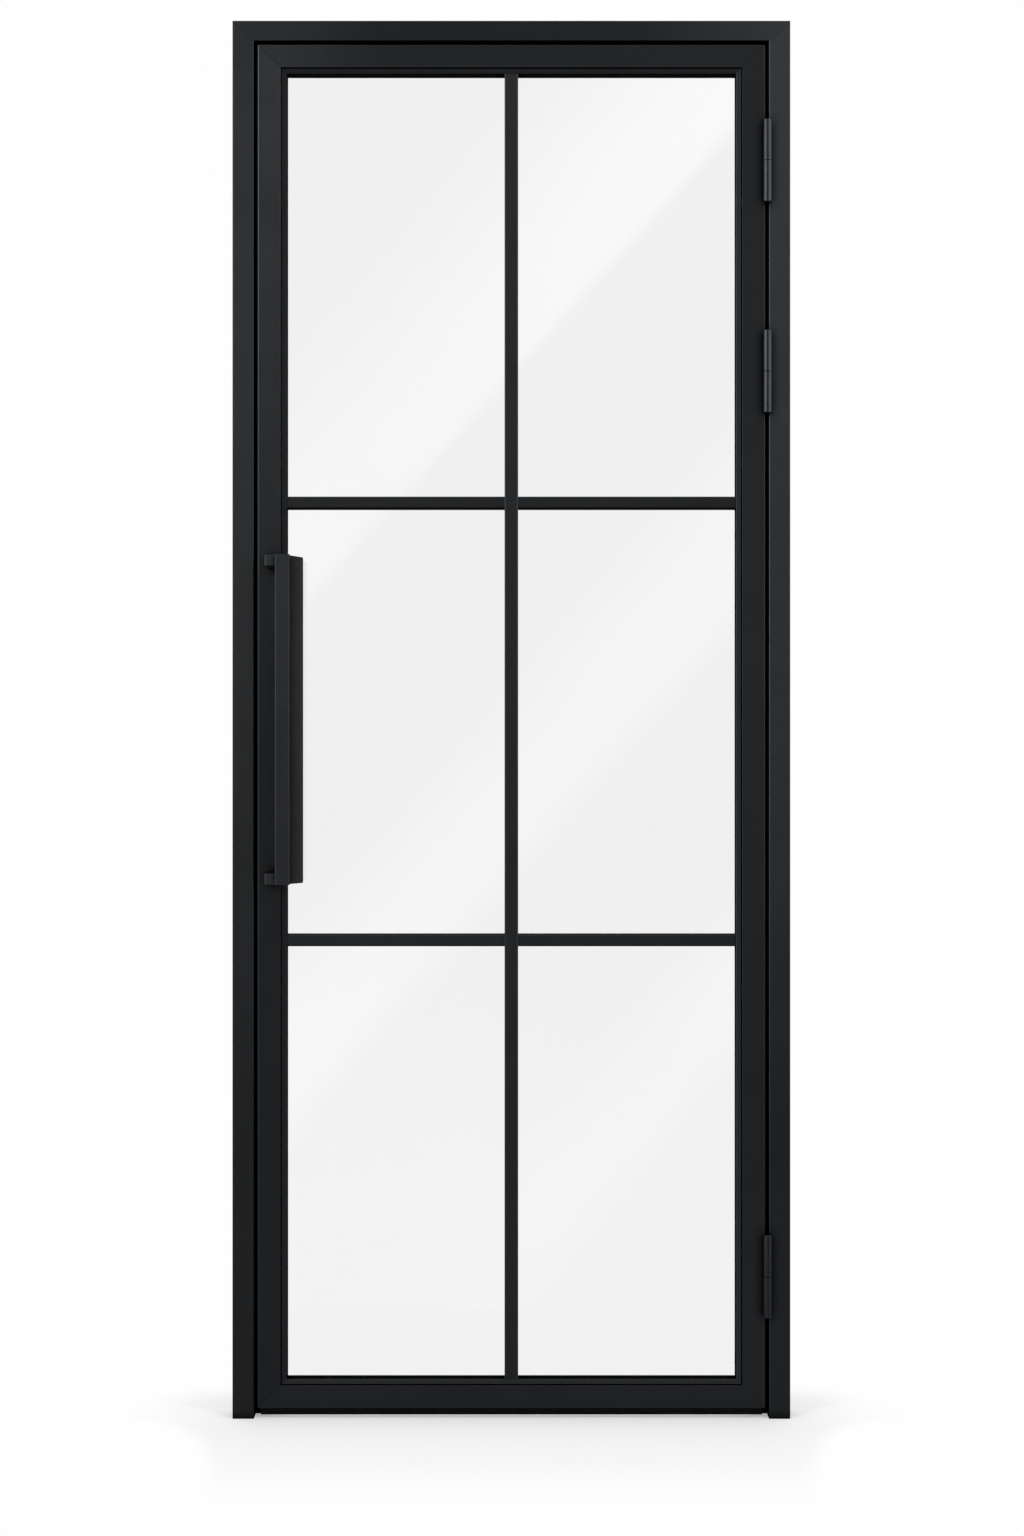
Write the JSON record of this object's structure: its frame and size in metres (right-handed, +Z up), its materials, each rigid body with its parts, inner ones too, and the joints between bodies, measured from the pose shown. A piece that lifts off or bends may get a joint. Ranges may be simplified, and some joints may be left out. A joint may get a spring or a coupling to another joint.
{
  "type": "steel-framed glass door with frame",
  "caption": "Black steel-framed glass door divided into panes by slim bars, with a long angled pull handle, hung on lift-off hinges in its own slim frame.",
  "frame": {"origin": "on the floor, at the middle of the door set's width and in the front plane that the frame and the closed leaf share", "axes": "+X to the right across the door, towards the hinges; +Y from the room into the wall; +Z up"},
  "size_m": [0.838, 0.105, 2.1],
  "materials": {
    "black_powder_coat": "fine-textured satin black powder coat on steel",
    "clear_glass": "clear toughened float glass, polished",
    "black_rubber": "matt black EPDM rubber",
    "bright_steel": "plain bright steel, hidden",
    "blackened_steel": "blackened steel fasteners",
    "bearing_plastic": "black low-friction plastic",
    "black_plastic": "matt black moulded plastic",
    "black_aluminium": "black anodised aluminium"
  },
  "bodies": {
    "frame": {"catch_housing": "black_plastic", "catch_magnet": "bright_steel", "frame_head": "black_powder_coat", "hinge_bottom_frame_half": "black_powder_coat", "hinge_bottom_pin": "bright_steel", "hinge_middle_frame_half": "black_powder_coat", "hinge_middle_pin": "bright_steel", "hinge_top_frame_half": "black_powder_coat", "hinge_top_pin": "bright_steel", "hinge_washers": "bearing_plastic", "jamb_left": "black_powder_coat", "jamb_right": "black_powder_coat", "stop_seal_head": "black_rubber", "stop_seal_left": "black_rubber", "stop_seal_right": "black_rubber"},
    "leaf": {"bead_bottom": "black_powder_coat", "bead_clips": "bright_steel", "bead_left": "black_powder_coat", "bead_right": "black_powder_coat", "bead_top": "black_powder_coat", "bottom_seal": "black_rubber", "bottom_seal_carrier": "black_aluminium", "cover_clips": "bright_steel", "crossbar_cover_lower_left": "black_powder_coat", "crossbar_cover_lower_right": "black_powder_coat", "crossbar_cover_upper_left": "black_powder_coat", "crossbar_cover_upper_right": "black_powder_coat", "crossbar_lower_left": "black_powder_coat", "crossbar_lower_right": "black_powder_coat", "crossbar_upper_left": "black_powder_coat", "crossbar_upper_right": "black_powder_coat", "gasket_bottom_left": "black_rubber", "gasket_bottom_right": "black_rubber", "gasket_middle_left": "black_rubber", "gasket_middle_right": "black_rubber", "gasket_top_left": "black_rubber", "gasket_top_right": "black_rubber", "grip_screws": "blackened_steel", "handle_bolts": "blackened_steel", "handle_grip": "black_powder_coat", "handle_spacers": "bright_steel", "handle_standoff_lower": "black_powder_coat", "handle_standoff_upper": "black_powder_coat", "hinge_bottom_leaf_half": "black_powder_coat", "hinge_middle_leaf_half": "black_powder_coat", "hinge_top_leaf_half": "black_powder_coat", "pane_bottom_left": "clear_glass", "pane_bottom_right": "clear_glass", "pane_middle_left": "clear_glass", "pane_middle_right": "clear_glass", "pane_top_left": "clear_glass", "pane_top_right": "clear_glass", "rail_bottom": "black_powder_coat", "rail_top": "black_powder_coat", "stile_left": "black_powder_coat", "stile_right": "black_powder_coat", "upright_bar": "black_powder_coat", "upright_cover": "black_powder_coat"}
  },
  "joints": [
    {"name": "door_swing", "type": "hinge", "parent": "frame", "child": "leaf", "pos_m": [0.384, -0.0065, 0], "axis": [0, 0, 1], "range_deg": [0, 175]}
  ]
}
